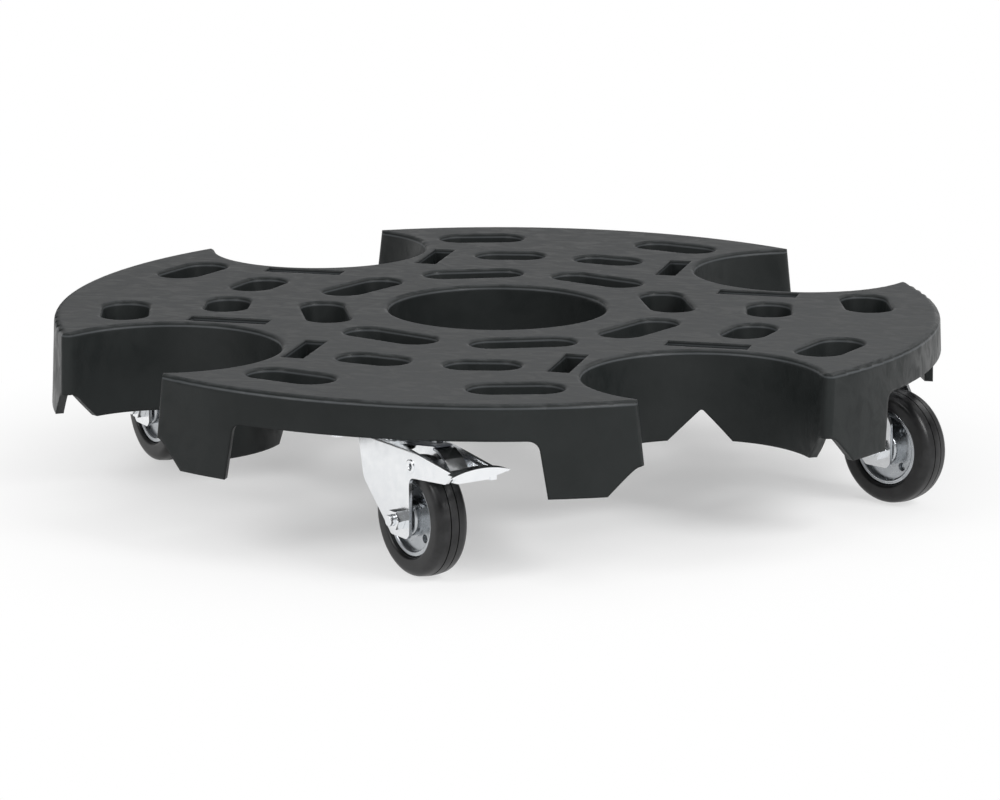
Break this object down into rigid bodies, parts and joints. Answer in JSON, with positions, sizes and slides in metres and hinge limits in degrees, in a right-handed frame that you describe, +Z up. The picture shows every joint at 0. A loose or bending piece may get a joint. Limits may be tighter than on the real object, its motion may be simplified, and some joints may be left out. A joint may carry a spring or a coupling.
{
  "type": "plant pot caddy",
  "caption": "Round four-lobed moulded plastic caddy on zinc-plated swivel castors with rubber tyres and brake pedals, for rolling heavy plant pots.",
  "frame": {"origin": "on the floor, under the middle of the centre hole", "axes": "+Z up, the front lobe with the brake along -Y, the right lobe along +X"},
  "size_m": [0.6827, 0.7374, 0.129],
  "materials": {
    "deck": "moulded recycled polyolefin, matt dark grey",
    "fork": "bright zinc-plated pressed steel",
    "plate": "bright zinc-plated pressed steel",
    "fasteners": "zinc-plated bolts, nuts, screws and rivets",
    "rim": "zinc-plated pressed rim",
    "bearing": "hardened bearing steel",
    "tyre": "black vulcanised rubber",
    "brake": "zinc-plated pressed steel",
    "spring": "blued spring steel"
  },
  "bodies": {
    "deck": {"deck": "deck", "top_plate_front": "plate", "plate_screws_front": "fasteners", "king_pin_front": "fasteners", "swivel_balls_front": "bearing", "top_plate_right": "plate", "plate_screws_right": "fasteners", "king_pin_right": "fasteners", "swivel_balls_right": "bearing", "top_plate_back": "plate", "plate_screws_back": "fasteners", "king_pin_back": "fasteners", "swivel_balls_back": "bearing", "top_plate_left": "plate", "plate_screws_left": "fasteners", "king_pin_left": "fasteners", "swivel_balls_left": "bearing"},
    "castor_front": {"fork_front": "fork", "axle_bolt_front": "fasteners", "axle_nut_front": "fasteners", "axle_sleeve_front": "bearing", "pedal_rivet_front": "fasteners", "brake_spring_front": "spring"},
    "wheel_front": {"bearing_rollers_front": "bearing", "rim_halves_front": "rim", "rim_rivets_front": "fasteners", "tyre_front": "tyre"},
    "pedal_front": {"brake_pedal_front": "brake"},
    "castor_right": {"fork_right": "fork", "axle_bolt_right": "fasteners", "axle_nut_right": "fasteners", "axle_sleeve_right": "bearing"},
    "wheel_right": {"bearing_rollers_right": "bearing", "rim_halves_right": "rim", "rim_rivets_right": "fasteners", "tyre_right": "tyre"},
    "castor_back": {"fork_back": "fork", "axle_bolt_back": "fasteners", "axle_nut_back": "fasteners", "axle_sleeve_back": "bearing", "pedal_rivet_back": "fasteners", "brake_spring_back": "spring"},
    "wheel_back": {"bearing_rollers_back": "bearing", "rim_halves_back": "rim", "rim_rivets_back": "fasteners", "tyre_back": "tyre"},
    "pedal_back": {"brake_pedal_back": "brake"},
    "castor_left": {"fork_left": "fork", "axle_bolt_left": "fasteners", "axle_nut_left": "fasteners", "axle_sleeve_left": "bearing"},
    "wheel_left": {"bearing_rollers_left": "bearing", "rim_halves_left": "rim", "rim_rivets_left": "fasteners", "tyre_left": "tyre"}
  },
  "joints": [
    {"name": "swivel_front", "type": "hinge", "parent": "deck", "child": "castor_front", "pos_m": [0, -0.281, 0.0925], "axis": [0, 0, 1], "continuous": true},
    {"name": "roll_front", "type": "hinge", "parent": "castor_front", "child": "wheel_front", "pos_m": [0.02233, -0.30103, 0.0425], "axis": [0.6678, 0.7443, 0], "continuous": true},
    {"name": "brake_front", "type": "hinge", "parent": "castor_front", "child": "pedal_front", "pos_m": [0.03238, -0.31005, 0.0825], "axis": [0.6678, 0.7443, 0], "range_deg": [0, 10]},
    {"name": "swivel_right", "type": "hinge", "parent": "deck", "child": "castor_right", "pos_m": [0.281, 0, 0.0925], "axis": [0, 0, 1], "continuous": true},
    {"name": "roll_right", "type": "hinge", "parent": "castor_right", "child": "wheel_right", "pos_m": [0.30685, -0.01523, 0.0425], "axis": [0.5075, 0.8616, 0], "continuous": true},
    {"name": "swivel_back", "type": "hinge", "parent": "deck", "child": "castor_back", "pos_m": [0, 0.281, 0.0925], "axis": [0, 0, 1], "continuous": true},
    {"name": "roll_back", "type": "hinge", "parent": "castor_back", "child": "wheel_back", "pos_m": [-0.02233, 0.30103, 0.0425], "axis": [-0.6678, -0.7443, 0], "continuous": true},
    {"name": "brake_back", "type": "hinge", "parent": "castor_back", "child": "pedal_back", "pos_m": [-0.03238, 0.31005, 0.0825], "axis": [-0.6678, -0.7443, 0], "range_deg": [0, 10]},
    {"name": "swivel_left", "type": "hinge", "parent": "deck", "child": "castor_left", "pos_m": [-0.281, 0, 0.0925], "axis": [0, 0, 1], "continuous": true},
    {"name": "roll_left", "type": "hinge", "parent": "castor_left", "child": "wheel_left", "pos_m": [-0.26024, -0.02165, 0.0425], "axis": [0.7218, 0.6921, 0], "continuous": true}
  ]
}
